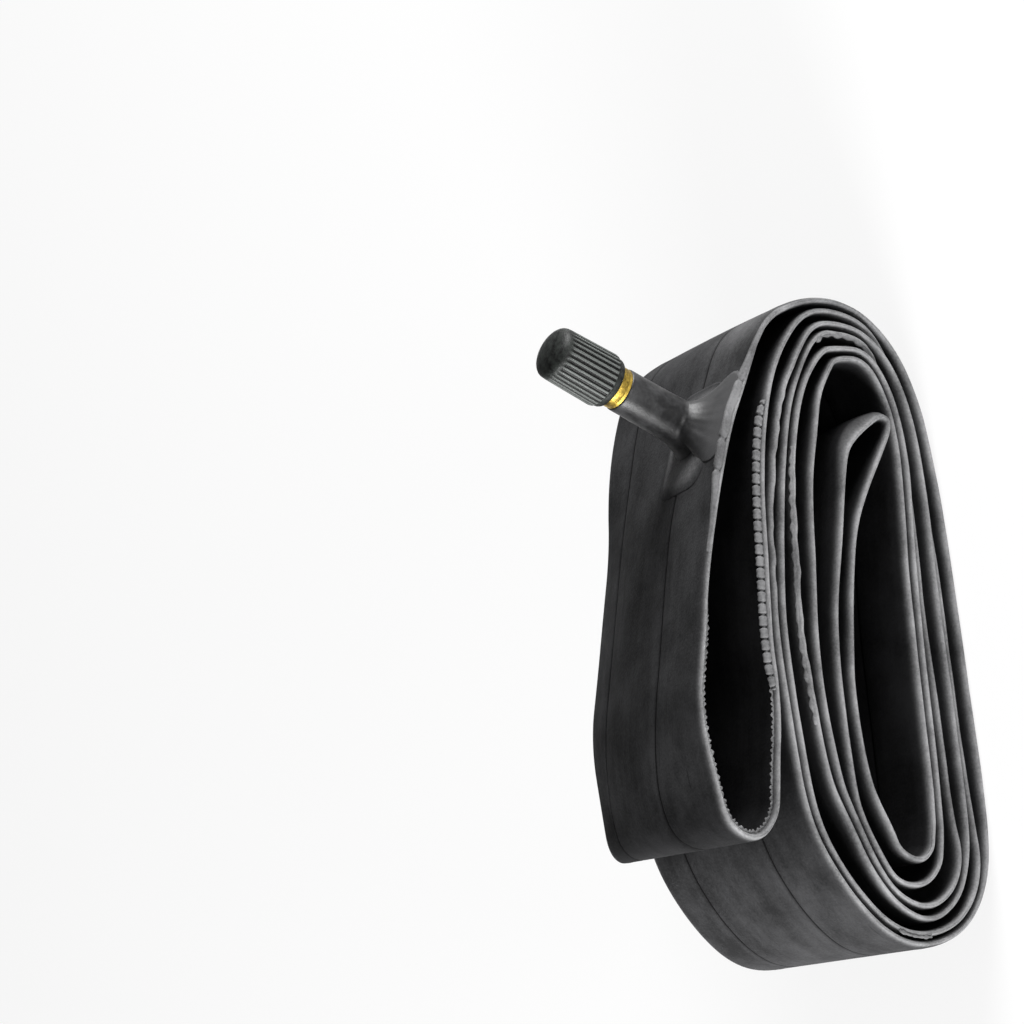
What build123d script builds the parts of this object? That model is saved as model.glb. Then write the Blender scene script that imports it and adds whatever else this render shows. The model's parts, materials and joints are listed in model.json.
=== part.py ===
"""Deflated bicycle inner tube, folded double and rolled into an oval coil, with its car-type valve.

The tube lies flat: two rubber walls with a film of air between them make one strand, as wide as
the flattened tube.  The strand is a closed ring.  It is folded into a double strand and rolled up,
so that the coil rests on its long side, the strand's width runs along Y, and the valve stands on
the outermost strand and points up.  That strand makes a loose loop that leans backwards.
"""

import os
from math import atan2, copysign, cos, radians, sin, tan

from build123d import *

os.makedirs("parts", exist_ok=True)

# ---------------------------------------------------------------- driving sizes, in millimetres
flat_width = 46.0          # the flattened tube, fold edge to fold edge
wall = 0.65                # one rubber wall
air_film = 0.2             # what is left between the two walls
arc_share = 0.45           # how much of each straight run its two bends take up
least_turn = 0.6           # degrees; a smaller turn leaves the run straight

patch_length = 19.0        # reinforcing patch under the valve, along the strand
patch_width = 18.0
patch_thickness = 0.6
patch_corner = 3.0
patch_margin = 0.5         # the strand lies level this far round the patch

valve_along = 16.2         # from the start of the straight run that carries the valve
valve_from_edge = 14.0     # from the front fold edge, which is at -Y

stem_radius = 4.0          # rubber-covered stem
stem_height = 17.0         # top of the rubber, above the tube's outer face
foot_spread = 2.6          # how far the rubber foot spreads beyond the stem
foot_edge = 0.5            # thickness of the foot at its rim
foot_height = 4.2          # where the flare has run out
rubber_skin = 0.75         # rubber over the brass body

collar_inset = 0.2         # the brass collar is this much inside the rubber
collar_height = 2.2        # brass collar that shows above the rubber
collar_edge = 0.25
collar_waist = 0.2         # shallow groove round the collar
collar_waist_height = 0.6
outer_thread_radius = 3.85
outer_thread_depth = 0.42
outer_thread_pitch = 0.794
outer_thread_length = 10.5
relief_height = 0.9        # smooth neck between collar and thread
bore_radius = 1.9
base_flange = 1.35         # how far the base flange stands out of the brass body
base_flange_height = 0.9
rubber_under_flange = 0.5

seat_step = 0.45           # the core's way is this much wider than the bore
core_thread_depth = 0.3
core_thread_pitch = 0.706
mouth_chamfer = 0.4
thread_clearance = 0.05    # between screwed threads
fit_clearance = 0.03       # between pieces that seat on each other
pin_way_clearance = 0.3    # round the pin where it passes through the core
air_way = 0.35             # round the core's lower end, in the bore

plug_below_stem_top = 0.8  # swivel plug that screws the core in
plug_length = 5.2
plug_head = 1.4            # its head, with two flats for the core tool
plug_head_clearance = 0.35
plug_flats = 3.0
plug_neck = 1.0            # narrow way for the pin at the plug's lower end

barrel_length = 8.0
barrel_wall = 0.3
barrel_flange = 0.7
barrel_flange_clearance = 0.15
barrel_floor = 0.8
seat_length = 1.7          # cone in the stem that the gasket seals on

pin_radius = 0.5
pin_head_radius = 0.85
pin_head = 0.5
pin_below_stem_top = 0.25
pin_collar = 0.5
pin_collar_clearance = 0.15
pin_collar_below_plug = 0.1
pin_tail = 0.25

cup_height = 1.3
cup_wall = 0.25
washer_stands = 0.2        # the washer stands out of the cup by this much
washer_below_barrel = 0.05

spring_wire_radius = 0.13
spring_turns = 7

cap_wall = 1.05            # from the cap's bore to the tops of its ribs
cap_taper = 0.2            # how much thinner the cap is at its dome
cap_ribs = 30
rib_depth = 0.28
rib_groove_radius = 0.3
lip_inset = 0.2            # the smooth lip is this much inside the ribs
lip_mouth_inset = 0.6
lip_height = 1.3
cap_gap = 0.12             # between the cap's lip and the brass collar
cap_bore_clearance = 0.15  # between the cap's bore and the stem's thread
cap_thread_depth = 0.18
cap_roof = 2.0
cap_headroom = 0.6         # between the stem's top and the cap's roof
dome_height = 2.6
dome_round = 1.9

strand = 2 * wall + air_film


# ---------------------------------------------------------------- the coil's route, seen from the front
# A rack is a line across the strands: the point where it meets the outermost strand's outer
# face (x, z), the direction it faces outwards in degrees from +X towards +Z, and the gaps
# between one strand and the next, from outside inwards.
left_racks = [
    ((-28.0, 60.35), 90, (10.4, 3.7, 0.3, 3.0, 0.9, 1.8, 1.8)),
    ((-14.5, 61.65), 90, (14.7, 0.3, 0.2, 2.5, 0.9, 2.7, 1.2)),
    ((-2.0, 58.5), 88, (11.2, 0.2, 0.45, 1.95, 1.9, 3.1, 1.9)),
    ((9.5, 55.6), 84, (9.6, 0.2, 0.2, 2.0, 2.4, 3.7, 2.4)),
    ((22.0, 52.0), 80, (7.2, 0.6, 0.7, 1.2, 2.5, 5.2, 3.9)),
    ((34.0, 47.6), 66, (5.0, 1.2, 0.9, 0.5, 2.9)),
    ((45.5, 42.2), 52, (3.5, 1.6, 0.8, 0.5, 3.4)),
    ((54.0, 36.6), 38, (3.2, 2.1, 0.5, 0.3, 2.9)),
]
end_and_rest_racks = [
    ((58.4, 28.0), 24, (0.4, 1.2, 0.5, 1.4, 2.4)),
    ((58.9, 19.5), -6, (0.25, 0.8, 0.25, 1.8, 1.5)),
    ((55.9, 11.3), -22, (0.3, 0.3, 0.3, 0.3, 0.6)),
    ((48.0, 4.6), -56, (0.3, 0.25, 0.25, 0.25, 0.25)),
    ((37.0, 1.2), -75, (0.25, 0.2, 0.2, 0.2, 0.2)),
    ((22.0, 0.0), -90, (0.2, 0.2, 0.2, 0.3, 0.5)),
    ((0.0, 0.0), -90, (0.2, 0.9, 0.2, 2.0, 0.3)),
    ((-18.0, 0.0), -90, (0.25, 1.0, 0.2, 2.4, 0.2)),
    ((-36.0, 0.0), -90, (0.25, 1.2, 0.2, 2.8, 0.3)),
    ((-47.5, 1.6), -124, (0.3, 1.7, 0.3, 3.5, 0.5)),
    ((-56.3, 8.0), -156, (0.3, 1.5, 0.5, 3.6, 1.4)),
    ((-59.2, 17.5), -180, (0.25, 0.8, 0.9, 3.7, 2.7)),
    ((-57.2, 26.5), -195, (0.25, 1.6, 0.3, 1.1, 3.8)),
    ((-49.5, 34.8), -224, (0.25, 2.2, 0.3, 0.9, 2.7)),
    ((-38.5, 41.4), -249, (0.25, 3.1, 0.2, 1.1, 2.1)),
]
inner_bight = [(30.5, 22.6), (35.5, 18.8), (37.0, 14.8), (34.2, 13.0), (27.5, 14.6)]
inner_racks = 5            # the innermost double strand ends after this many left racks
all_racks = left_racks + end_and_rest_racks

# Under the valve the outermost strand is a loose loop, and there it leans: the stiff valve lifts
# its front fold edge off the racks, and its back edge has sagged.  Each left rack that the loop
# passes has the two edges' lift; between racks 4 and 7 the strand runs straight, under the valve.
loop_lift = {
    0: {"front": 1.4, "back": -8.3},
    1: {"front": 1.85, "back": -8.5},
    2: {"front": 1.6, "back": -9.4},
    3: {"front": 2.0, "back": -9.4},
    4: {"front": 1.5, "back": -5.0},
    7: {"front": 0.9, "back": -0.5},
}
valve_run_racks = (4, 7)
loop_bight = {
    "front": [(-33.6, 48.6), (-37.8, 53.4), (-34.8, 59.4)],
    "middle": [(-34.0, 48.4), (-37.4, 52.8), (-35.0, 58.4)],
    "back": [(-33.5, 47.2), (-36.6, 48.4), (-34.2, 51.0)],
}


def on_rack(rack, layer, lift=0.0):
    """Middle of a strand on a rack, lifted off it outwards; layer 0 is the outermost strand."""
    (x, z), facing, gaps = rack
    depth = strand * (layer + 0.5) + sum(gaps[:layer]) - lift
    return (x - depth * cos(radians(facing)), z - depth * sin(radians(facing)))


def coil_route():
    """The coil without its loop: inwards along the even layers, and back out along the odd ones."""
    points = [on_rack(rack, 0) for rack in end_and_rest_racks[1:]]
    for layer in (2, 4):
        points += [on_rack(rack, layer) for rack in all_racks]
    points += [on_rack(rack, 6) for rack in left_racks[:inner_racks]]
    points += inner_bight
    points += [on_rack(rack, 7) for rack in reversed(left_racks[:inner_racks])]
    for layer in (5, 3, 1):
        points += [on_rack(rack, layer) for rack in reversed(all_racks)]
    return points


def loop_route(edge):
    """The leaning loop at one edge, from the coil's last two points round to its first two, so
    that loop and coil meet halfway along the run that they share at each end."""
    points = [on_rack(left_racks[1], 1), on_rack(left_racks[0], 1)] + loop_bight[edge]
    points += [on_rack(left_racks[i], 0, lift.get(edge, 0.0)) for i, lift in loop_lift.items()]
    return points + [on_rack(rack, 0) for rack in end_and_rest_racks[:3]]


def bend_at(points, i, shift=0.0):
    """One bend of the line that runs beside the route, shift to its left: the turn, the bend
    radius on the route itself, and the bend's first, middle and last point."""
    before, here, after = (Vector(*point) for point in points[i - 1:i + 2])
    way_in, way_out = here - before, after - here
    turn = atan2(way_in.cross(way_out).Z, way_in.dot(way_out))
    left_in, left_out = (Vector(0, 0, 1).cross(way.normalized()) for way in (way_in, way_out))
    halving = (left_in + left_out).normalized()
    radius = arc_share * min(way_in.length, way_out.length) / max(tan(abs(turn) / 2), 1e-9)
    reach = copysign(radius, turn)
    centre = here + halving * (reach / cos(turn / 2))
    return turn, radius, [centre - left * (reach - shift) for left in (left_in, halving, left_out)]


def half_way(points, i, shift):
    """The middle of the run that starts at point i, shift to its left."""
    start, end = (Vector(*point) for point in points[i:i + 2])
    return (start + end) / 2 + Vector(0, 0, 1).cross((end - start).normalized()) * shift


def side_of_strip(points, shift):
    """Edges of the line beside a route, from the middle of its first run to that of its last."""
    edges = []
    start = half_way(points, 0, shift)
    for i in range(1, len(points) - 1):
        bend = bend_at(points, i, shift)[2]
        edges += [Edge.make_line(start, bend[0]), Edge.make_three_point_arc(*bend)]
        start = bend[-1]
    return edges + [Edge.make_line(start, half_way(points, len(points) - 2, shift))]


def strip_section(points, thickness, y):
    """The strand along a route, as thick as given, cut across the width at the distance y."""
    left, right = (side_of_strip(points, shift) for shift in (thickness / 2, -thickness / 2))
    with BuildSketch(Plane.XZ.offset(-y)) as section:
        with BuildLine():
            add(left)
            Line(left[-1] @ 1, right[-1] @ 1)
            add(right)
            Line(right[0] @ 0, left[0] @ 0)
        make_face()
    return section.sketch


coil = coil_route()
turning = [i for i in range(1, len(coil) - 1) if abs(bend_at(coil, i)[0]) > radians(least_turn)]
coil = [coil[0], *[coil[i] for i in turning], coil[-1]]
tightest = min(bend_at(coil, i)[1] for i in range(1, len(coil) - 1))
print("coil route:", len(coil), "points, tightest bend", round(tightest, 2), "mm")

# across the width, the strand lies level under the valve's patch
valve_y = valve_from_edge - flat_width / 2
level_from = valve_y - patch_width / 2 - patch_margin
level_to = valve_y + patch_width / 2 + patch_margin


def loop_at(y):
    """The loop's route at the distance y across the width: it slopes evenly from the level
    stretch to each edge."""
    if y < level_from:
        edge, share = "front", (level_from - y) / (level_from + flat_width / 2)
    else:
        edge, share = "back", max(0.0, y - level_to) / (flat_width / 2 - level_to)
    points = []
    for middle, outer in zip(loop_route("middle"), loop_route(edge)):
        point = Vector(*middle) * (1 - share) + Vector(*outer) * share
        points.append((point.X, point.Y))
    return points


def ring(thickness, inset):
    """The whole ring of strand, as thick as given and this much inside its two fold edges: the
    coil, which stands square, and the leaning loop."""
    front, back = inset - flat_width / 2, flat_width / 2 - inset
    with BuildPart() as solid:
        extrude(strip_section(coil, thickness, front), amount=front - back)
        loft([strip_section(loop_at(y), thickness, y) for y in (front, level_from, level_to, back)],
             ruled=True)
    return solid.part


# ---------------------------------------------------------------- where the valve stands
run_start, run_end = (Vector(*on_rack(left_racks[i], 0)) for i in valve_run_racks)
run_direction = (run_end - run_start).normalized()
run_outwards = Vector(0, 0, 1).cross(run_direction)
seat_seen = run_start + run_direction * valve_along + run_outwards * (strand / 2)
seat = Vector(seat_seen.X, valve_y, seat_seen.Y)
along_strand = Vector(run_direction.X, 0, run_direction.Y)
valve_turning = Plane(origin=seat, x_dir=along_strand, z_dir=(0, -1, 0))
valve_up = valve_turning.y_dir
valve_seat = Plane(origin=seat, x_dir=along_strand, z_dir=valve_up)
valve_axis = Axis(seat, valve_up)
print("valve seat", seat, "valve axis", valve_up)

# heights along the valve axis, from the tube's outer face
flange_bottom = patch_thickness + rubber_under_flange
flange_top = flange_bottom + base_flange_height
collar_top = stem_height + collar_height
outer_thread_bottom = collar_top + relief_height
stem_top = outer_thread_bottom + outer_thread_length
plug_top = stem_top - plug_below_stem_top
plug_shank_top = plug_top - plug_head
plug_bottom = plug_top - plug_length
seat_top = plug_bottom - barrel_flange
seat_bottom = seat_top - seat_length
barrel_bottom = plug_bottom - barrel_length
spring_bottom = barrel_bottom + barrel_floor
pin_top = stem_top - pin_below_stem_top
pin_collar_top = plug_bottom - pin_collar_below_plug
pin_collar_bottom = pin_collar_top - pin_collar
washer_top = barrel_bottom - washer_below_barrel
cup_top = washer_top - washer_stands
cup_bottom = cup_top - cup_height
pin_bottom = cup_bottom - pin_tail
cap_bottom = collar_top + cap_gap
lip_top = cap_bottom + lip_height
roof_bottom = stem_top + cap_headroom
cap_top = roof_bottom + cap_roof
dome_bottom = cap_top - dome_height

# radii that follow from a neighbour
foot_radius = stem_radius + foot_spread
body_radius = stem_radius - rubber_skin
base_flange_radius = body_radius + base_flange
collar_radius = stem_radius - collar_inset
outer_thread_root = outer_thread_radius - outer_thread_depth
core_way_radius = bore_radius + seat_step
core_thread_root = core_way_radius + core_thread_depth
plug_radius = core_way_radius - thread_clearance
plug_head_radius = core_way_radius - plug_head_clearance
plug_bore_radius = pin_head_radius + pin_way_clearance
pin_way_radius = pin_radius + pin_way_clearance
barrel_flange_radius = core_way_radius - barrel_flange_clearance
barrel_radius = bore_radius - pin_way_clearance
chamber_radius = barrel_radius - barrel_wall
pin_collar_radius = chamber_radius - pin_collar_clearance
spring_radius = (pin_radius + chamber_radius) / 2
cup_radius = bore_radius - air_way
cup_bore_radius = cup_radius - cup_wall
pin_hole_radius = pin_radius + fit_clearance
cap_bore_radius = outer_thread_radius + cap_bore_clearance
cap_radius = cap_bore_radius + cap_wall


def thread_rings(crest, depth, pitch, start, end):
    """Corners of ring-shaped thread grooves, from the height start to the height end.

    The grooves are cut inwards from the crest, or outwards where depth is negative.
    """
    rings = int(abs(end - start) / pitch)
    step = pitch if end > start else -pitch
    corners = [(crest, start)]
    for ring in range(rings):
        corners.append((crest - depth, start + step * (ring + 0.5)))
        corners.append((crest, start + step * (ring + 1)))
    return corners


def turned(*corners):
    """Half section of a turned piece: corners as (radius, height) on the valve's own axis."""
    with BuildSketch(valve_turning) as section:
        with BuildLine():
            Polyline(*corners, close=True)
        make_face()
    return section.sketch


def finish(piece, name):
    """Name the piece and write it to its own file."""
    piece.part.label = name
    print(name, "valid" if piece.part.is_valid else "NOT VALID", round(piece.part.volume, 2), "mm3")
    export_step(piece.part, "parts/" + name + ".step")


# ---------------------------------------------------------------- tube casing
with BuildPart() as tube_casing:
    add(ring(strand, 0.0))
    add(ring(air_film, wall), mode=Mode.SUBTRACT)
    with BuildSketch(valve_seat):
        Circle(bore_radius)
    extrude(amount=-(wall + air_film / 2), mode=Mode.SUBTRACT)
finish(tube_casing, "tube_casing")

# ---------------------------------------------------------------- reinforcing patch under the valve
with BuildPart() as valve_patch:
    with BuildSketch(valve_seat):
        RectangleRounded(patch_length, patch_width, patch_corner)
        Circle(bore_radius, mode=Mode.SUBTRACT)
    extrude(amount=patch_thickness)
finish(valve_patch, "valve_patch")

# ---------------------------------------------------------------- rubber foot and cover of the stem
with BuildPart() as stem_rubber:
    with BuildSketch(valve_turning):
        with BuildLine():
            Polyline((bore_radius, flange_bottom), (bore_radius, patch_thickness),
                     (foot_radius, patch_thickness), (foot_radius, patch_thickness + foot_edge))
            TangentArc((stem_radius, foot_height), (foot_radius, patch_thickness + foot_edge),
                       tangent=(0, -1))
            Polyline((stem_radius, foot_height), (stem_radius, stem_height),
                     (body_radius, stem_height), (body_radius, flange_top),
                     (base_flange_radius, flange_top), (base_flange_radius, flange_bottom),
                     (bore_radius, flange_bottom))
        make_face()
    revolve(axis=valve_axis)
finish(stem_rubber, "stem_rubber")

# ---------------------------------------------------------------- brass stem
waist_bottom = stem_height + (collar_height - collar_waist_height) / 2
outside = [
    (bore_radius, flange_bottom), (base_flange_radius, flange_bottom),
    (base_flange_radius, flange_top), (body_radius, flange_top), (body_radius, stem_height),
    (collar_radius, stem_height), (collar_radius, waist_bottom),
    (collar_radius - collar_waist, waist_bottom + collar_waist_height / 2),
    (collar_radius, waist_bottom + collar_waist_height), (collar_radius, collar_top - collar_edge),
    (collar_radius - collar_edge, collar_top), (outer_thread_root, collar_top),
    (outer_thread_root, outer_thread_bottom),
]
outside += thread_rings(outer_thread_radius, outer_thread_depth, outer_thread_pitch,
                        outer_thread_bottom, stem_top)
inside = [(outer_thread_root, stem_top), (core_thread_root, stem_top),
          (core_way_radius, stem_top - mouth_chamfer)]
inside += thread_rings(core_way_radius, -core_thread_depth, core_thread_pitch,
                       stem_top - mouth_chamfer, plug_bottom)[1:]
inside += [(core_way_radius, seat_top), (bore_radius, seat_bottom)]
with BuildPart() as stem_brass:
    revolve(turned(*outside, *inside), axis=valve_axis)
finish(stem_brass, "stem_brass")

# ---------------------------------------------------------------- core: plug
plug_outside = thread_rings(plug_radius, core_thread_depth, core_thread_pitch,
                            plug_bottom, plug_shank_top)
with BuildPart() as core_plug:
    revolve(turned((pin_way_radius, plug_bottom), *plug_outside, (plug_radius, plug_shank_top),
                   (plug_head_radius, plug_shank_top), (plug_head_radius, plug_top),
                   (plug_bore_radius, plug_top), (plug_bore_radius, plug_bottom + plug_neck),
                   (pin_way_radius, plug_bottom + plug_neck)), axis=valve_axis)
    with BuildSketch(valve_seat.offset(plug_shank_top)):
        Circle(plug_head_radius + fit_clearance)
        Rectangle(plug_flats, 3 * plug_head_radius, mode=Mode.SUBTRACT)
    extrude(amount=plug_head, mode=Mode.SUBTRACT)
finish(core_plug, "core_plug")

# ---------------------------------------------------------------- core: barrel
with BuildPart() as core_barrel:
    revolve(turned((pin_way_radius, barrel_bottom), (barrel_radius, barrel_bottom),
                   (barrel_radius, seat_top), (barrel_flange_radius, seat_top),
                   (barrel_flange_radius, plug_bottom), (chamber_radius, plug_bottom),
                   (chamber_radius, spring_bottom), (pin_way_radius, spring_bottom)),
            axis=valve_axis)
finish(core_barrel, "core_barrel")

# ---------------------------------------------------------------- core: tapered gasket on the cone
with BuildPart() as core_gasket:
    revolve(turned((barrel_radius + fit_clearance, seat_bottom),
                   (bore_radius - fit_clearance, seat_bottom),
                   (core_way_radius - fit_clearance, seat_top),
                   (barrel_radius + fit_clearance, seat_top)), axis=valve_axis)
finish(core_gasket, "core_gasket")

# ---------------------------------------------------------------- core: pin
with BuildPart() as core_pin:
    revolve(turned((0, pin_bottom), (pin_radius, pin_bottom), (pin_radius, pin_collar_bottom),
                   (pin_collar_radius, pin_collar_bottom), (pin_collar_radius, pin_collar_top),
                   (pin_radius, pin_collar_top), (pin_radius, pin_top - pin_head),
                   (pin_head_radius, pin_top - pin_head), (pin_head_radius, pin_top), (0, pin_top)),
            axis=valve_axis)
finish(core_pin, "core_pin")

# ---------------------------------------------------------------- core: cup and its washer
with BuildPart() as core_cup:
    revolve(turned((pin_hole_radius, cup_bottom), (cup_radius, cup_bottom), (cup_radius, cup_top),
                   (cup_bore_radius, cup_top), (cup_bore_radius, cup_bottom + cup_wall),
                   (pin_hole_radius, cup_bottom + cup_wall)), axis=valve_axis)
finish(core_cup, "core_cup")

with BuildPart() as cup_washer:
    revolve(turned((pin_hole_radius, cup_bottom + cup_wall),
                   (cup_bore_radius - fit_clearance, cup_bottom + cup_wall),
                   (cup_bore_radius - fit_clearance, washer_top),
                   (pin_hole_radius, washer_top)), axis=valve_axis)
finish(cup_washer, "cup_washer")

# ---------------------------------------------------------------- core: spring
spring_start = spring_bottom + spring_wire_radius + fit_clearance
spring_height = pin_collar_bottom - spring_wire_radius - fit_clearance - spring_start
with BuildPart() as core_spring:
    with BuildLine() as spring_path:
        Helix(pitch=spring_height / spring_turns, height=spring_height, radius=spring_radius,
              center=seat + valve_up * spring_start, direction=valve_up)
    with BuildSketch(Plane(origin=spring_path.line @ 0, z_dir=spring_path.line % 0)):
        Circle(spring_wire_radius)
    sweep(is_frenet=True)
finish(core_spring, "core_spring")


# ---------------------------------------------------------------- dust cap
def rib_groove_plane(rib):
    """Plane square to one groove between two ribs, where the groove starts on the lip."""
    around = Vector(along_strand).rotate(Axis((0, 0, 0), valve_up), 360 * rib / cap_ribs)
    start = seat + valve_up * lip_top + around * (cap_radius + rib_groove_radius - rib_depth)
    leaning_in = valve_up * (dome_bottom - lip_top) - around * cap_taper
    return Plane(origin=start, z_dir=leaning_in)


cap_thread = thread_rings(cap_bore_radius, -cap_thread_depth, outer_thread_pitch, stem_top, lip_top)
with BuildPart() as dust_cap:
    with BuildSketch(valve_turning):
        with BuildLine():
            Polyline((0, cap_top), (0, roof_bottom), (cap_bore_radius, roof_bottom), *cap_thread,
                     (cap_bore_radius, cap_bottom), (cap_radius - lip_mouth_inset, cap_bottom),
                     (cap_radius - lip_inset, lip_top), (cap_radius, lip_top),
                     (cap_radius - cap_taper, dome_bottom))
            Polyline((cap_radius - cap_taper, dome_bottom),
                     (cap_radius - cap_taper, cap_top - dome_round))
            RadiusArc((cap_radius - cap_taper, cap_top - dome_round),
                      (cap_radius - cap_taper - dome_round, cap_top), -dome_round)
            Line((cap_radius - cap_taper - dome_round, cap_top), (0, cap_top))
        make_face()
    revolve(axis=valve_axis)
    with BuildSketch(*[rib_groove_plane(rib) for rib in range(cap_ribs)]):
        Circle(rib_groove_radius)
    extrude(amount=dome_bottom - lip_top, mode=Mode.SUBTRACT)
finish(dust_cap, "dust_cap")
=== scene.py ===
# %% [markdown]
# # An inner tube, rolled up
#
# A bicycle inner tube is a ring of soft black butyl.  Let down and pressed flat it is a strap,
# two walls thick.  Here the strap is folded double and rolled into an oval coil, and the valve
# stands on the outermost turn.  The measured frame of the part comes first, because every
# surface made below has to land on it.

import json
from math import cos, pi, radians, sin

import bmesh
import bpy
import numpy as np
from mathutils import Matrix, Vector


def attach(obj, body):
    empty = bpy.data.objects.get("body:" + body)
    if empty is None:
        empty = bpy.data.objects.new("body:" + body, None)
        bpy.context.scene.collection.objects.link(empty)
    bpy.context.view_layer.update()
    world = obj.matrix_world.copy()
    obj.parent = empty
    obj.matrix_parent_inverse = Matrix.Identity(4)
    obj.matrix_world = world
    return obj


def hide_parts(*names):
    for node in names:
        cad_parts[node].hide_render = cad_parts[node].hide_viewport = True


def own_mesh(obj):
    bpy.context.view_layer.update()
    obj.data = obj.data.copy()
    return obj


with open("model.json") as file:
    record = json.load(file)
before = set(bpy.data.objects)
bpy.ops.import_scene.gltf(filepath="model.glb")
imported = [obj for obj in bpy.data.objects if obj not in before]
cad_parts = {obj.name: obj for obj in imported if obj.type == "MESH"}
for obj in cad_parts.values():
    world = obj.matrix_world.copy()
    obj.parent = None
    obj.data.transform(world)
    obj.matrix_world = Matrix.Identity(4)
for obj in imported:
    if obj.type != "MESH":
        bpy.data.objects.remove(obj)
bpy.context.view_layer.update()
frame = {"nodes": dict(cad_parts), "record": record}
MM = 0.001

# %% [markdown]
# ## The camera
#
# The coil is seen from the front, from well above, and with the camera turned on its side, so
# that the coil's long side runs up the picture.  A camera can be placed by angles, but three
# directions say it more plainly: where it looks, which way is up in the picture, and the third
# square to both.  A long lens from over half a metre away keeps the turns of the coil nearly
# parallel.

# %% Camera
CAMERA_PLACE = (-0.0681, -0.4429, 0.4014)
camera_data = bpy.data.cameras.new("camera")
camera_data.sensor_width = 36.0
camera_data.lens = 112.5
camera = bpy.data.objects.new("camera", camera_data)
bpy.context.scene.collection.objects.link(camera)
looks = Vector((0.166, 0.798, -0.579)).normalized()
picture_up = Vector((0.979, -0.205, -0.002))
to_the_right = looks.cross(picture_up).normalized()
picture_up = to_the_right.cross(looks)
turned_camera = Matrix((to_the_right, picture_up, -looks)).transposed().to_4x4()
camera.matrix_world = Matrix.Translation(CAMERA_PLACE) @ turned_camera
bpy.context.scene.camera = camera
print("camera stands", round(camera.location.length, 3), "m from the coil's foot")

# %% [markdown]
# ## Colours and nodes
#
# Paint charts and screens give colours as sRGB hex values, while a shader adds up light, which
# needs linear values, so one function does the change.  Materials are built from small node
# graphs, and one more function adds a node with its settings and its links.


# %% Colour and node helpers
def linear(hex_colour):
    """sRGB hex to linear light: a channel c over 0.04045 becomes ((c + 0.055) / 1.055) ^ 2.4,
    and a darker one c / 12.92."""
    channels = np.array([int(hex_colour[i:i + 2], 16) for i in (1, 3, 5)]) / 255
    curved = ((channels + 0.055) / 1.055) ** 2.4
    return (*np.where(channels > 0.04045, curved, channels / 12.92), 1.0)


def add(tree, kind, links=None, **settings):
    """Add a node.  Settings are its properties, or its inputs by name or number; links give, for
    an input, the socket that feeds it."""
    node = tree.nodes.new(kind)
    for name, value in settings.items():
        if hasattr(node, name):
            setattr(node, name, value)
    for key, value in (links or {}).items():
        if isinstance(value, bpy.types.NodeSocket):
            tree.links.new(value, node.inputs[key])
        else:
            node.inputs[key].default_value = value
    return node


def new_material(name):
    """An empty node material, with its output node."""
    material = bpy.data.materials.new(name)
    material.use_nodes = True
    material.node_tree.nodes.clear()
    return material, material.node_tree, add(material.node_tree, "ShaderNodeOutputMaterial")


print("white is", linear("#ffffff"), "and mid grey", [round(c, 3) for c in linear("#808080")])

# %% [markdown]
# ## Floor and light
#
# The part is shown on a plain pale floor.  Black rubber has hardly any colour of its own: it shows
# its shape by the light that grazes it.  So soft lamps stand low and far out, one beyond each end
# of the coil, and a small one low in front draws a thin bright line along each fold edge.  A lit
# sheet of paper looks grey next to a lamp, so the floor adds most of the white that is seen.

# %% Floor and backdrop
SHARE_OF_WHITE = 0.75                # how much of the floor's look is plain white
floor_mesh = bpy.data.meshes.new("floor")
floor_mesh.from_pydata([(-3, -3, 0), (3, -3, 0), (3, 3, 0), (-3, 3, 0)], [], [(0, 1, 2, 3)])
floor = bpy.data.objects.new("floor", floor_mesh)
bpy.context.scene.collection.objects.link(floor)

paper, tree, output = new_material("white_paper")
seen = add(tree, "ShaderNodeLightPath")
lit = add(tree, "ShaderNodeBsdfDiffuse", {"Color": linear("#f2f2f2")})
bright = add(tree, "ShaderNodeEmission", {"Color": linear("#ffffff"), "Strength": 1.0})
share = add(tree, "ShaderNodeMath", {0: seen.outputs["Is Camera Ray"], 1: SHARE_OF_WHITE},
            operation="MULTIPLY")
shown = add(tree, "ShaderNodeMixShader", {0: share.outputs[0], 1: lit.outputs[0],
                                          2: bright.outputs[0]})
tree.links.new(shown.outputs[0], output.inputs[0])
floor_mesh.materials.append(paper)

world = bpy.data.worlds.new("studio")
bpy.context.scene.world = world
world.use_nodes = True
sky = world.node_tree
sky.nodes.clear()
rays = add(sky, "ShaderNodeLightPath")
room_light = add(sky, "ShaderNodeBackground", {"Color": linear("#ffffff"), "Strength": 0.2})
seen_white = add(sky, "ShaderNodeBackground", {"Color": linear("#ffffff"), "Strength": 1.0})
either = add(sky, "ShaderNodeMixShader", {0: rays.outputs["Is Camera Ray"],
                                          1: room_light.outputs[0], 2: seen_white.outputs[0]})
add(sky, "ShaderNodeOutputWorld", {0: either.outputs[0]})
bpy.context.scene.view_settings.view_transform = "Standard"
print("floor and sky:", paper.name, "and", world.name)

# %% [markdown]
# ## The lamps
#
# A square lamp gives a soft edge to its light, and the wider it is, the softer.  One function
# makes a lamp and turns it to the coil: its own light leaves along its -Z, so that axis is pointed
# at the aim.


# %% Lamps
AIM = (0, 0, 0.03)                   # the middle of the coil, in metres


def lamp(name, size, watts, place):
    """A square soft lamp of that side in metres, at a place, turned to face the coil."""
    data = bpy.data.lights.new(name, "AREA")
    data.size = size
    data.energy = watts
    thing = bpy.data.objects.new(name, data)
    bpy.context.scene.collection.objects.link(thing)
    thing.location = place
    thing.rotation_euler = (Vector(AIM) - Vector(place)).to_track_quat("-Z", "Y").to_euler()


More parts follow.
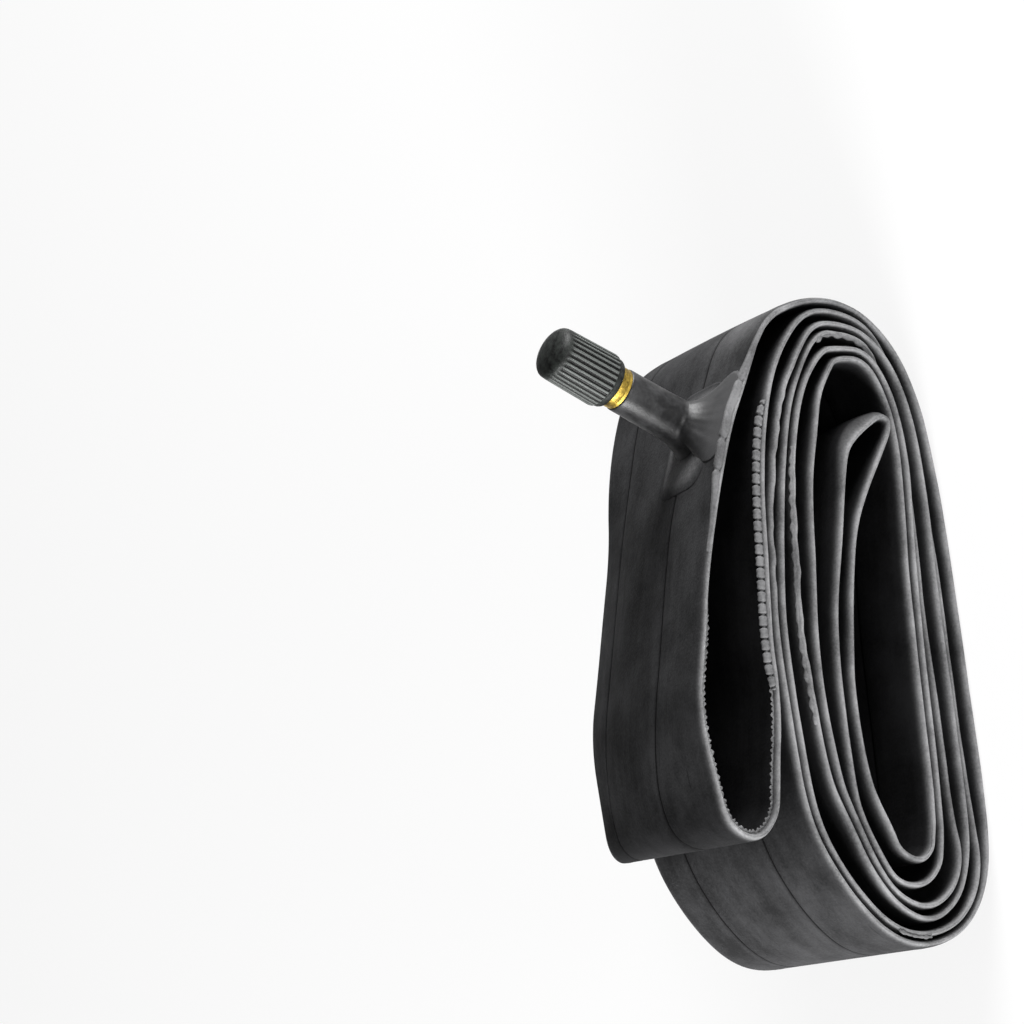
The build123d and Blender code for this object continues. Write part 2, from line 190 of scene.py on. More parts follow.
lamp("beyond_the_valve_end", 0.45, 19.0, (0.9, -0.25, 0.22))
lamp("low_front", 0.3, 5.0, (-0.1, -1.0, 0.16))
lamp("beyond_the_other_end", 0.4, 30.0, (-0.95, -0.22, 0.14))

# %% [markdown]
# ## The route of the strap
#
# Seen from the front the coil is a line drawing: one closed line that runs in along every other
# layer, turns round in the middle, and runs back out between them.  It could be a spiral, but a
# real coil is uneven.  So racks are laid across the layers, as a basket maker lays stakes: each
# says where the outermost layer crosses it, which way it faces in degrees, and the gaps between
# one layer and the next.  The measured part was laid over much the same racks.

# %% Racks across the layers, in millimetres
FLAT_WIDTH = 46.0                    # of the tube pressed flat
STRAND = 1.5                         # thickness of the strap: two walls and the air between them
LEFT_RACKS = [
    ((-28.0, 60.35), 90, (10.4, 3.7, 0.3, 3.0, 0.9, 1.8, 1.8)),
    ((-14.5, 61.65), 90, (14.7, 0.3, 0.2, 2.5, 0.9, 2.7, 1.2)),
    ((-2.0, 58.5), 88, (11.2, 0.2, 0.45, 1.95, 1.9, 3.1, 1.9)),
    ((9.5, 55.6), 84, (9.6, 0.2, 0.2, 2.0, 2.4, 3.7, 1.8)),
    ((22.0, 52.0), 80, (7.2, 0.6, 0.7, 1.2, 2.5, 5.2, 2.0)),
    ((34.0, 47.6), 66, (5.0, 1.2, 0.9, 0.5, 2.9)),
    ((45.5, 42.2), 52, (3.5, 1.6, 0.8, 0.5, 3.4)),
    ((54.0, 36.6), 38, (3.2, 2.1, 0.5, 0.3, 2.6)),
]
OTHER_RACKS = [
    ((58.4, 28.0), 24, (0.4, 1.2, 0.5, 1.4, 1.9)),
    ((58.9, 19.5), -6, (0.25, 0.8, 0.25, 1.6, 0.3)),
    ((55.9, 11.3), -22, (0.15, 0.1, 0.15, 0.1, 0.2)),
    ((48.0, 4.6), -56, (0.0, -0.05, 0.0, -0.05, 0.0)),
    ((37.0, 1.2), -75, (0.0, -0.05, 0.0, -0.05, 0.0)),
    ((22.0, 0.0), -90, (0.2, 0.2, 0.2, 0.3, 0.5)),
    ((0.0, 0.0), -90, (0.2, 0.9, 0.2, 2.0, 0.3)),
    ((-18.0, 0.0), -90, (0.25, 1.0, 0.2, 2.4, 0.2)),
    ((-36.0, 0.0), -90, (0.25, 1.2, 0.2, 2.8, 0.3)),
    ((-47.5, 1.6), -124, (0.3, 1.7, 0.3, 3.5, 0.8)),
    ((-56.3, 8.0), -156, (0.3, 1.5, 0.5, 3.6, 1.9)),
    ((-59.2, 17.5), -180, (0.25, 0.8, 0.9, 2.6, 2.7)),
    ((-57.2, 26.5), -195, (0.25, 2.9, 0.2, 0.6, 4.1)),
    ((-49.5, 34.8), -224, (0.25, 3.6, 0.3, 0.5, 3.4)),
    ((-38.5, 41.4), -249, (0.25, 4.9, 0.2, 0.2, 2.8)),
]
INNER_BIGHT = [(28.6, 22.4), (31.8, 20.5), (34.8, 16.4), (37.4, 11.7), (35.2, 9.9), (28.5, 14.5),
               (22.6, 18.5)]
INNER_RACKS = 5                      # the racks that the two innermost layers reach
STRAIGHT_RACKS = (5, 6)              # the outermost layer runs straight past these, under the valve
print("racks:", len(LEFT_RACKS), "over the top and", len(OTHER_RACKS), "round the rest")

# %% [markdown]
# ## The strap leans
#
# The outermost turn doesn't stand square to the rest: its front edge is pulled outwards by the
# stiff valve, and its back edge has sagged on to the turns below.  A strap made by pushing one
# outline straight back can't lean.  So there are three outlines, at the front edge, at the
# valve's distance from it, and at the back edge, and the strap's surface is a parabola drawn
# through the three.  Turns under a sagging one are pressed together.

# %% How far each layer leans
VALVE_SHARE = 14.0 / FLAT_WIDTH      # the valve's distance from the front edge, of the width
EDGES = ("front", "middle", "back")
FRONT_LIFT = (1.4, 1.85, 1.6, 2.0, 1.5, 1.2, 0.8, 0.9, 0.3)
BACK_SAG = (-8.3, -9.0, -9.4, -9.4, -9.2, -6.7, -3.8, -3.4, -2.0)
UNDER_VALVE = ((0.37, 2.4, -5.3), (0.66, 1.5, -3.4))     # share of the straight, lift and sag
OUTER_BIGHTS = {
    "front": [(-33.6, 48.6), (-37.8, 53.4), (-34.8, 59.4)],
    "middle": [(-34.0, 48.4), (-37.4, 52.8), (-35.0, 58.4)],
    "back": [(-33.5, 47.2), (-36.6, 48.4), (-34.2, 51.0)],
}
CLOSEST = 0.15                       # what is left of a gap that is pressed together
RACKS = LEFT_RACKS + OTHER_RACKS


def lean_at(rack_number, layer, edge):
    """How far a layer stands outwards of its rack at the front or back edge."""
    if edge == "middle" or rack_number >= len(FRONT_LIFT):
        return 0.0
    if edge == "front":
        return FRONT_LIFT[rack_number] if layer == 0 else 0.0
    gaps = RACKS[rack_number][2]
    lean = BACK_SAG[rack_number]
    for gap in gaps[:layer]:
        lean = min(0.0, lean + gap - CLOSEST)
    return lean


def on_rack(rack_number, layer, edge):
    """Middle of a layer on a rack: in from the rack's start, against its facing, by the strands
    and gaps outside the layer and half a strand, less its lean."""
    (x, z), facing, gaps = RACKS[rack_number]
    depth = STRAND * (layer + 0.5) + sum(gaps[:layer]) - lean_at(rack_number, layer, edge)
    return x - depth * cos(radians(facing)), z - depth * sin(radians(facing))


print("the outermost layer's back edge sags up to", -min(BACK_SAG), "mm")

# %% [markdown]
# ## The order of the corners
#
# The ring is walked once: in along the outermost layer and every second one after it, round the
# inner turn, and back out along the layers between.  The walk is the same at the three edges, so
# their outlines have the same number of corners, one for one.


# %% The three outlines
def stations():
    """The corners in order, in along the even layers and back along the odd ones, each as a kind,
    a number and a layer."""
    left, every = range(len(LEFT_RACKS)), range(len(RACKS))
    order = [("rack", n, 0) for n in left if n < STRAIGHT_RACKS[0]]
    order += [("run", n, 0) for n in range(len(UNDER_VALVE))]
    order += [("rack", n, 0) for n in every if n > STRAIGHT_RACKS[-1]]
    order += [("rack", n, layer) for layer in (2, 4) for n in every]
    order += [("rack", n, 6) for n in range(INNER_RACKS)]
    order += [("inner", n, 6) for n in range(len(INNER_BIGHT))]
    order += [("rack", n, 7) for n in reversed(range(INNER_RACKS))]
    order += [("rack", n, layer) for layer in (5, 3, 1) for n in reversed(every)]
    return order + [("outer", n, 1) for n in range(len(OUTER_BIGHTS["middle"]))]


def corner(kind, number, layer, edge):
    """One corner of the outline at an edge, as (x, z).  Under the valve it is a share of the way
    between two racks, moved outwards by its lift or sag."""
    if kind == "rack":
        return on_rack(number, layer, edge)
    if kind == "inner":
        return INNER_BIGHT[number]
    if kind == "outer":
        return OUTER_BIGHTS[edge][number]
    start, end = (np.array(on_rack(n, 0, "middle"))
                  for n in (STRAIGHT_RACKS[0] - 1, STRAIGHT_RACKS[-1] + 1))
    out = np.array([start[1] - end[1], end[0] - start[0]]) / np.hypot(*(end - start))
    share, lift, sag = UNDER_VALVE[number]
    lean = {"front": lift, "middle": 0.0, "back": sag}[edge]
    return tuple(start + share * (end - start) + lean * out)


order = stations()
outlines = {edge: np.array([corner(*station, edge) for station in order])
            for edge in EDGES}
print("outline:", len(order), "corners, the same number at each edge")

# %% [markdown]
# ## From corners to a smooth surface
#
# A quadratic B-spline rounds the corners without swinging past them: between two corners'
# middles it is one parabola, pulled towards the corner.  A place on the strap is then two
# numbers, the length along the ring and the height across the strap, and one function turns them
# into a point and the direction that the strap faces there.


# %% The strap as a surface
def spline(corners, steps):
    """Closed quadratic B-spline: at t from 0 to 1 on a corner's stretch the point is
    (1-t)^2/2 of the last corner, 1/2 + t(1-t) of this one and t^2/2 of the next."""
    t = (np.arange(steps) / steps)[None, :, None]
    before, here, after = (np.roll(corners, shift, axis=0)[:, None, :] for shift in (1, 0, -1))
    return ((1 - t) ** 2 / 2 * before + (0.5 + t * (1 - t)) * here + t * t / 2 * after).reshape(
        len(corners) * steps, -1)


STEPS = 40                           # samples on each corner's stretch
fine = {edge: spline(points, STEPS) for edge, points in outlines.items()}
pieces_of_ring = np.hypot(*(np.roll(fine["middle"], -1, axis=0) - fine["middle"]).T)
ring_at = np.concatenate([[0.0], np.cumsum(pieces_of_ring)])
RING = ring_at[-1]
LOOK = 0.4                           # how far to each side the line's direction is measured


def follow(samples, u):
    """Value of a sampled closed line at the length u along the ring."""
    index = np.interp(np.mod(u, RING), ring_at, np.arange(len(ring_at)))
    low = np.floor(index).astype(int)
    part = (index - low)[..., None]
    count = len(samples)
    return samples[low % count] * (1 - part) + samples[(low + 1) % count] * part


def strap(u, y):
    """Middle of the strap at length u and width y: the parabola across the three outlines, with
    the direction (x, z) that its left face looks.  The parabola's weights at a share s of the
    width, for a middle at m, are (s-m)(s-1)/m, s(s-1)/(m(m-1)) and s(s-m)/(1-m)."""
    share = (y + FLAT_WIDTH / 2) / FLAT_WIDTH
    m = VALVE_SHARE
    weights = {"front": (share - m) * (share - 1) / m,
               "middle": share * (share - 1) / (m * (m - 1)),
               "back": share * (share - m) / (1 - m)}
    point, way = 0.0, 0.0
    for edge, weight in weights.items():
        ahead, behind = follow(fine[edge], u + LOOK), follow(fine[edge], u - LOOK)
        point = point + weight[..., None] * follow(fine[edge], u)
        way = way + weight[..., None] * (ahead - behind)
    way = way / np.linalg.norm(way, axis=-1, keepdims=True)
    return point, np.stack([-way[..., 1], way[..., 0]], axis=-1)


def on_strap(u, y, height):
    """Points in millimetres that stand a height off the strap's middle, on its left side."""
    u, y, height = np.broadcast_arrays(np.asarray(u, float), y, height)
    point, facing = strap(u, y)
    place = point + facing * height[..., None]
    return np.stack([place[..., 0], y, place[..., 1]], axis=-1)


print("the tube's ring is", round(RING), "mm long")

# %% [markdown]
# ## The fold edges
#
# Cut across, the strap is a long flat loop.  Rubber doesn't fold to a knife edge, and it doesn't
# fold to a half circle either: its walls come together in a blunt nose, and only the narrow crest
# of the nose shines.  Just behind it the walls swell a little before they lie flat.  So the half
# thickness is a function of the distance from the fold: a quarter ellipse, a slight swelling and
# a plain.

# %% The strap's section
NOSE_DEPTH, NOSE_HALF = 2.0, 0.68    # how deep the fold's nose reaches, and half its height
KNOTS = ((NOSE_DEPTH, NOSE_HALF), (3.4, 0.73), (5.0, 0.69))     # depth and half the thickness
HALF_MIDDLE = KNOTS[-1][1]
MOULD_LINES = (-8.8, 13.5)           # fine lines along the whole of the ring's outer face
LINE_WIDTH = 0.6
ACROSS_A_LINE = (-1.2, -0.5, 0.0, 0.5, 1.2)                     # of the line's width
BEHIND_NOSE = np.array([2.5, 2.9, 3.4, 4.1, 5.0])
OUTER_PLAIN = [-15.0, -11.5, -4.0, 2.0, 8.0, 17.0]              # points on the outer face's plain
INNER_PLAIN = [9.0, -3.0, -13.0]                                # and, walking back, on the inner's


def half_thickness(depth):
    """Half the strap's thickness at a depth in from the fold: half-cosine steps from knot to
    knot."""
    depths, heights = np.array(KNOTS).T
    index = np.interp(depth, depths, np.arange(len(KNOTS)))
    low = np.minimum(np.floor(index).astype(int), len(KNOTS) - 2)
    part = (1 - np.cos(pi * (index - low))) / 2
    return heights[low] * (1 - part) + heights[low + 1] * part


nose_turn = np.linspace(0, pi / 2, 9)
nose_y = -FLAT_WIDTH / 2 + NOSE_DEPTH * (1 - np.cos(nose_turn))
nose_height = NOSE_HALF * np.sin(nose_turn)
near_lines = [line + step * LINE_WIDTH for line in MOULD_LINES for step in ACROSS_A_LINE]
behind_front = BEHIND_NOSE - FLAT_WIDTH / 2
before_back = FLAT_WIDTH / 2 - BEHIND_NOSE[::2]
outer_y = np.sort(np.concatenate([behind_front, OUTER_PLAIN, near_lines, before_back]))
inner_y = np.concatenate([before_back, INNER_PLAIN, behind_front[::-1]])
outer_height = half_thickness(FLAT_WIDTH / 2 - np.abs(outer_y))
inner_height = half_thickness(FLAT_WIDTH / 2 - np.abs(inner_y))
section_y = np.concatenate([nose_y, outer_y, -nose_y[::-1], -nose_y[1:], inner_y, nose_y[:0:-1]])
section_height = np.concatenate([nose_height, outer_height, nose_height[::-1],
                                 -nose_height[1:], -inner_height, -nose_height[:0:-1]])
section_steps = np.hypot(np.diff(section_y), np.diff(section_height))
section_run = np.concatenate([[0.0], np.cumsum(section_steps)])
print("section:", len(section_y), "points,", round(section_run[-1], 1), "mm round")

# %% [markdown]
# ## From a grid of points to a mesh
#
# Every new piece is a grid: rows along, columns round.  The faces follow from the counting, so a
# single function makes the mesh of any grid, closes it either way where it meets itself, and
# keeps each point's two lengths as a UV map for the materials.


# %% Grid mesh helper
def grid_object(name, points, row_length, column_length, closed_rows=False, poles=False,
                marks=None):
    """A smooth mesh from points[row, column] in millimetres; the columns always close into a
    loop.  Each face joins a point to the next in its row and column.  row_length and
    column_length, in millimetres, make the UV map in metres.  Where the first and last row are
    poles, their points are merged.  Marks are named values at the points, for the materials."""
    rows, columns = points.shape[:2]
    strips = rows if closed_rows else rows - 1
    r, c = np.meshgrid(np.arange(strips), np.arange(columns), indexing="ij")
    ahead, beside = (r + 1) % rows, (c + 1) % columns
    quads = np.stack([r * columns + c, r * columns + beside, ahead * columns + beside,
                      ahead * columns + c], axis=-1).reshape(-1, 4)
    mesh = bpy.data.meshes.new(name)
    mesh.vertices.add(rows * columns)
    mesh.vertices.foreach_set("co", (points * MM).astype(np.float32).ravel())
    mesh.loops.add(quads.size)
    mesh.loops.foreach_set("vertex_index", quads.astype(np.int32).ravel())
    mesh.polygons.add(len(quads))
    mesh.polygons.foreach_set("loop_start", np.arange(0, quads.size, 4, dtype=np.int32))
    mesh.polygons.foreach_set("use_smooth", np.ones(len(quads), bool))
    long, wide = (np.append(length, 2 * length[-1] - length[-2])
                  for length in (row_length, column_length))
    corners = [(r, c), (r, c + 1), (r + 1, c + 1), (r + 1, c)]
    uv = np.stack([np.stack([long[i], wide[j]], axis=-1) for i, j in corners], axis=2) * MM
    mesh.update(calc_edges=True)
    uv_layer = mesh.uv_layers.new(name="UVMap")
    uv_layer.data.foreach_set("uv", uv.reshape(-1, 2).astype(np.float32).ravel())
    for mark, values in (marks or {}).items():
        attribute = mesh.attributes.new(mark, "FLOAT", "POINT")
        attribute.data.foreach_set("value", values.astype(np.float32).ravel())
    edit = bmesh.new()
    edit.from_mesh(mesh)
    if poles:
        edit.verts.ensure_lookup_table()
        ends = edit.verts[:columns] + edit.verts[-columns:]
        bmesh.ops.remove_doubles(edit, verts=ends, dist=1e-6)
    if edit.calc_volume(signed=True) < 0:
        bmesh.ops.reverse_faces(edit, faces=edit.faces)
    edit.to_mesh(mesh)
    edit.free()
    thing = bpy.data.objects.new(name, mesh)
    bpy.context.scene.collection.objects.link(thing)
    print(name, "has", 2 * len(quads), "triangles")
    return thing


# %% [markdown]
# ## Where the skin needs points
#
# A mesh should be fine where something happens and coarse where nothing does.  The rows of the
# skin stand two millimetres apart on the straight, closer on every bend, and closest on the outer
# loop and where an edge is crinkled.

# %% Rows along the ring
PUCKERED = ((536.0, 586.0), (1205.0, 1232.0))    # stretches whose front edge is crinkled
FRAYED = (312.0, 362.0)                          # and one whose edge is feathery
LOOP_REACH = 100.0                   # how far the outer loop runs to each side of the start
PLAIN_SPACING, LOOP_SPACING, ROUGH_SPACING = 2.0, 0.65, 0.8     # of the rows, in millimetres
TURN_SPACING = 0.16                  # and on a bend, in radians


def rough_stretch(u, start, end, fade=6.0):
    """One between two places on the ring, fading to nothing at both."""
    return np.clip((u - start) / fade, 0, 1) * np.clip((end - u) / fade, 0, 1)


ways = np.roll(fine["middle"], -1, axis=0) - fine["middle"]
heading = np.unwrap(np.arctan2(ways[:, 1], ways[:, 0]))
bend = np.abs(np.append(np.diff(heading), 0.0))
sample_u = ring_at[:-1]
rough = sum(rough_stretch(sample_u, *stretch) for stretch in (*PUCKERED, FRAYED))
on_loop = (sample_u < LOOP_REACH) | (sample_u > RING - LOOP_REACH)
rows_per_mm = 1 / PLAIN_SPACING + on_loop / LOOP_SPACING + rough / ROUGH_SPACING
rows_so_far = np.cumsum(pieces_of_ring * rows_per_mm + bend / TURN_SPACING)
row_count = np.concatenate([[0.0], rows_so_far])
stations_u = np.interp(np.arange(int(row_count[-1])), row_count, ring_at)
print("rows along the ring:", len(stations_u))

# %% [markdown]
# ## The tube's skin
#
# The skin is the section carried along the ring.  A few things are laid over the plain section:
# the front edges of deeper layers are drawn back, the fold edges waver by a few tenths of a
# millimetre as soft rubber does, a fine groove runs along each moulding line, and where the strap
# turns round in the middle of the coil its outer wall stands off the fold.  The wavers are random
# numbers joined smoothly, and the random numbers have a fixed seed, so the tube is the same tube
# each time.

# %% Wavering edges
SET_BACK = {1: 1.8, 3: 2.2}          # layers whose front edges lie deeper than their neighbours'
LOWER_RACKS = range(len(LEFT_RACKS) + 3, len(LEFT_RACKS) + 9)
SLIPPED, SLIP_AT, SLIP_REACH = 4.2, 4.0, 11.0    # one place where the moulding lines swing aside
EDGE_REACH = 3.0                     # how far in from the front fold a waver is felt
depths_back = [[SET_BACK.get(layer, 0.0) if kind == "rack" and number in LOWER_RACKS else 0.0]
               for kind, number, layer in order]
set_back = spline(np.array(depths_back), STEPS)
chance = np.random.default_rng(7)


def wander(u, wave, size):
    """A smooth random line along the ring: a random number every wave millimetres, joined by
    half-cosine steps."""
    count = int(RING / wave)
    heights = chance.uniform(-size, size, count)
    at = np.mod(u, RING) / RING * count
    low = np.floor(at).astype(int)
    part = (1 - np.cos(pi * (at - low))) / 2
    return heights[low % count] * (1 - part) + heights[(low + 1) % count] * part


crinkle = sum(rough_stretch(stations_u, *stretch) for stretch in PUCKERED)
feather = rough_stretch(stations_u, *FRAYED)
front_waver = (wander(stations_u, wave=17.0, size=0.22) + wander(stations_u, wave=5.0, size=0.05)
               + crinkle * wander(stations_u, wave=2.1, size=0.2)
               + feather * wander(stations_u, wave=1.6, size=0.3))
side_waver = (wander(stations_u, wave=9.0, size=0.05)
              + crinkle * wander(stations_u, wave=2.3, size=0.1))
from_slip = np.mod(stations_u - SLIP_AT + RING / 2, RING) - RING / 2
line_waver = (wander(stations_u, wave=60.0, size=0.5)
              + SLIPPED * np.exp(-(from_slip / SLIP_REACH) ** 2))


def skin_points(u, y, height, waver=0.0, sideways=0.0):
    """Points of the skin: the strap's point with the front edge drawn back where it lies deeper,
    and moved by the waver near the edge."""
    share = (y + FLAT_WIDTH / 2) / FLAT_WIDTH
    near_edge = np.clip((EDGE_REACH - FLAT_WIDTH / 2 - y) / EDGE_REACH, 0, 1)
    moved = y + follow(set_back, u)[..., 0] * (1 - share) + waver * near_edge
    return on_strap(u, moved, height + sideways * near_edge)


def band(depth, start, end):
    """A half-cosine step from nothing at the start to one at the end."""
    part = np.clip((depth - start) / (end - start), 0, 1)
    return (1 - np.cos(pi * part)) / 2


print("the front edge wavers by", front_waver.min().round(2), "to", front_waver.max().round(2), "mm")

# %% [markdown]
# ## What the skin tells its material
#
# A fold, a moulding line and the outermost face differ in colour, not only in shape.  A picture could
# be painted on the skin for that, but the shape is already known by numbers.  So each point carries
# three marks: how near it is to a fold edge, which is painted lighter as rubbed wear and as a painted
# highlight on the crest; how near to a moulding line; and whether it lies on the outermost face, as
# the faces inside the coil are painted darker, as painted shade.  Beside the valve the first mark also
# rises in a broad painted pool of light on the outermost face.

# %% Tube skin
GROOVE = 0.25                        # depth of a moulding line
PUFF, PUFF_AT, PUFF_REACH = 1.5, 5.0, 6.0        # the outer wall's stand-off at the inner turn
PAINTED_LIGHT, PAINTED_LIGHT_AT, PAINTED_LIGHT_REACH = 0.42, (98.0, -15.0), (20.0, 12.0)    # a painted pool of light on the slope by the valve
CREST, OUTER_CREST = 0.95, 0.6       # depth at which the mark of a fold has faded to a third
inner_turn = ring_at[STEPS * (order.index(("inner", 0, 6)) + 1)]
row, column = np.meshgrid(np.arange(len(stations_u)), np.arange(len(section_y)), indexing="ij")
skin_u, skin_y, skin_h = stations_u[row], section_y[column], section_height[column]
depth = FLAT_WIDTH / 2 - np.abs(skin_y)
line_near = sum(np.exp(-((skin_y - line) / (0.45 * LINE_WIDTH)) ** 2) for line in MOULD_LINES)
groove = GROOVE * line_near * np.sign(skin_h) * (depth > 1)
away = PUFF * np.exp(-((skin_u - inner_turn - PUFF_AT) / PUFF_REACH) ** 2)
away = away * (skin_h > 0) * (skin_y < 0) * band(depth, 0.3, 1.6) * (1 - band(depth, 5.0, 16.0))
# the mark outer paints the faces inside the coil darker than the outermost face, as painted shade
is_outermost = np.array([[1.0 if layer == 0 else 0.0] for kind, number, layer in order])
outermost = follow(spline(is_outermost, STEPS), skin_u)[..., 0] * (skin_h > 0)
ground_y = skin_y + line_waver[row] * band(depth, 2.0, 13.0)
# a painted pool of light beside the valve, laid into the edge mark
from_painted_light = [(at - middle) / far for at, middle, far in zip((skin_u, skin_y), PAINTED_LIGHT_AT, PAINTED_LIGHT_REACH)]
painted_light = PAINTED_LIGHT * np.exp(-from_painted_light[0] ** 2 - from_painted_light[1] ** 2) * outermost
crest = CREST + (OUTER_CREST - CREST) * outermost
points = skin_points(skin_u, ground_y, skin_h - groove + away, front_waver[row], side_waver[row])
skin = grid_object("tube_skin", points, stations_u, section_run, closed_rows=True,
                   marks={"edge": np.maximum(np.exp(-depth / crest), painted_light), "line": line_near,
                          "outer": outermost})
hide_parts("tube_casing")
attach(skin, "tube")

# %% [markdown]
# ## Butyl rubber
#
# Butyl is a matt, very dark grey.  Freshly moulded it has a fine grain, a faint cloudiness where
# dusting powder sticks, and streaks along its length from the extruder.  Where it is folded it is
# stretched thin and rubbed smooth, and each fold is painted lighter, partly as rubbed wear and partly
# as a painted highlight along its crest, so every fold reads as a bright line.  The faces inside the
# coil are painted darker than the outermost face, as painted shade, and a painted pool of light lies
# beside the valve.  The marks laid on the mesh tell the material where that is.  A noise texture
# counts its cells in metres here, so each pattern's size is given in millimetres and turned round by
# one function.  Rubber's refractive index is about 1.5, but powder on the skin swallows the sheen
# that a low lamp would draw on it, so the specular level is set far under the usual half.


# %% Butyl material
STREAK = (40.0, 2.0)                 # length along the ring and width, in millimetres
CLOUD = 11.111
GRAIN = 0.4545                       # moulded grain is finer still, and wouldn't show
SCRATCH = (16.667, 0.6667)           # wider than real scratches, so that they show
SCRATCH_TURN = 0.5                   # radians away from the ring's length


def per_metre(size):
    """How many of a size in millimetres fill a metre, which is a pattern's scale."""
    return 1 / (size * MM)


def butyl(name, inner, outer, edge):
    """Rubber that drifts between greys: its ground goes from the inner colour, painted shade, to the
    outer colour by the mark "outer", then to the edge colour, partly wear and partly a painted
    highlight, by the mark "edge", and is darkened along the lines."""
    material, tree, output = new_material(name)
    uv = add(tree, "ShaderNodeUVMap", uv_map="UVMap")
    place = add(tree, "ShaderNodeTexCoord")
    marks = {mark: add(tree, "ShaderNodeAttribute", attribute_name=mark).outputs["Fac"]
             for mark in ("edge", "line", "outer")}
    along = add(tree, "ShaderNodeMapping", {
        "Vector": uv.outputs[0], "Scale": (per_metre(STREAK[0]), per_metre(STREAK[1]), 1)})
    streaks = add(tree, "ShaderNodeTexNoise", {
        "Vector": along.outputs[0], "Scale": 1.0, "Detail": 6.0})
    clouds = add(tree, "ShaderNodeTexNoise", {
        "Vector": place.outputs["Object"], "Scale": per_metre(CLOUD), "Detail": 7.0,
        "Roughness": 0.65})
    cloudy = add(tree, "ShaderNodeMath", {
        0: streaks.outputs["Fac"], 1: 0.3, 2: clouds.outputs["Fac"]}, operation="MULTIPLY_ADD")
    grain = add(tree, "ShaderNodeTexNoise", {
        "Vector": place.outputs["Object"], "Scale": per_metre(GRAIN), "Detail": 3.0})
    grainy = add(tree, "ShaderNodeMath", {
        0: grain.outputs["Fac"], 1: 0.35, 2: cloudy.outputs[0]}, operation="MULTIPLY_ADD")
    shade = add(tree, "ShaderNodeMapRange", {
        "Value": grainy.outputs[0], "From Min": 0.65, "From Max": 1.0, "To Min": 0.55,
        "To Max": 1.45})
    turned_uv = add(tree, "ShaderNodeMapping", {
        "Vector": uv.outputs[0], "Rotation": (0, 0, SCRATCH_TURN),
        "Scale": (per_metre(SCRATCH[0]), per_metre(SCRATCH[1]), 1)})
    scratch = add(tree, "ShaderNodeTexNoise", {
        "Vector": turned_uv.outputs[0], "Scale": 1.0, "Detail": 2.0})
    scratched = add(tree, "ShaderNodeMapRange", {
        "Value": scratch.outputs["Fac"], "From Min": 0.70, "From Max": 0.74, "To Min": 1.0,
        "To Max": 0.55})
    ground = add(tree, "ShaderNodeMix", {
        "Factor": marks["outer"], "A": linear(inner), "B": linear(outer)}, data_type="RGBA")
    ridge = add(tree, "ShaderNodeMapRange", {
        "Value": marks["edge"], "From Min": 0.05, "From Max": 0.95},
        interpolation_type="SMOOTHSTEP")
    folded = add(tree, "ShaderNodeMix", {
        "Factor": ridge.outputs[0], "A": ground.outputs["Result"], "B": linear(edge)},
        data_type="RGBA")
    lined = add(tree, "ShaderNodeMapRange", {"Value": marks["line"], "To Min": 1.0, "To Max": 0.04})
    amount = add(tree, "ShaderNodeMath", {0: shade.outputs[0], 1: lined.outputs[0]},
                 operation="MULTIPLY")
    worn = add(tree, "ShaderNodeMath", {0: amount.outputs[0], 1: scratched.outputs[0]},
               operation="MULTIPLY")
    colour = add(tree, "ShaderNodeVectorMath", {0: folded.outputs["Result"], "Scale": worn.outputs[0]},
                 operation="SCALE")
    polish = add(tree, "ShaderNodeMapRange", {
        "Value": ridge.outputs[0], "To Min": 0.7, "To Max": 0.4})
    bump = add(tree, "ShaderNodeBump", {
        "Height": grain.outputs["Fac"], "Strength": 0.35, "Distance": 0.0002})
    shader = add(tree, "ShaderNodeBsdfPrincipled", {
        "Base Color": colour.outputs[0], "Normal": bump.outputs[0],
        "Roughness": polish.outputs[0], "IOR": 1.52, "Specular IOR Level": 0.06})
    tree.links.new(shader.outputs[0], output.inputs[0])
    return material


# the fold grey is partly rubbed wear and partly a painted highlight along each fold's crest
SHADED_INNER_GREY, OUTER_GREY, FOLD_GREY = "#161617", "#2d2d2e", "#6c6c6d"
tube_butyl = butyl("moulded_butyl", SHADED_INNER_GREY, OUTER_GREY, FOLD_GREY)
skin.data.materials.append(tube_butyl)
print("butyl inside, outside and at a fold:",
      [round(linear(c)[0], 4) for c in (SHADED_INNER_GREY, OUTER_GREY, FOLD_GREY)])

# %% [markdown]
# ## Pieces along an edge
#
# Small things lie along the front edge: a row of beads pressed by the mould, puckers where the
# fold is crinkled, and a welt where the stiff valve foot drags the fold up.  Each is one small
# section carried along the edge, so one function carries it: a ring of points round a middle,
# whose two radii and middle change along the way.


# %% Rope along the edge
WEAR_AND_HIGHLIGHT = 0.6                           # mark of a fold, for what stands on one: rubbed wear and a painted highlight


def edge_rope(name, u, y, height, y_radius, height_radius, columns=12):
    """A rope beside the strap: at length u its middle is y and height, and it is an ellipse of
    the two radii.  Its ends are points."""
    turn = np.linspace(0, 2 * pi, columns, endpoint=False)[None, :]
    ends = np.ones(len(u))
    ends[[0, -1]] = 0.0
    ys = y[:, None] + (ends * y_radius)[:, None] * np.cos(turn)
    heights = height[:, None] + (ends * height_radius)[:, None] * np.sin(turn)
    points = skin_points(np.broadcast_to(u[:, None], ys.shape), ys, heights)
    around = np.linspace(0, 2 * pi * height_radius.max(), columns, endpoint=False)
    ones = np.ones(ys.shape)
    rope = grid_object(name, points, u, around, poles=True,
                       marks={"edge": WEAR_AND_HIGHLIGHT * ones, "line": 0 * ones, "outer": ones})
    rope.data.materials.append(tube_butyl)
    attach(rope, "tube")


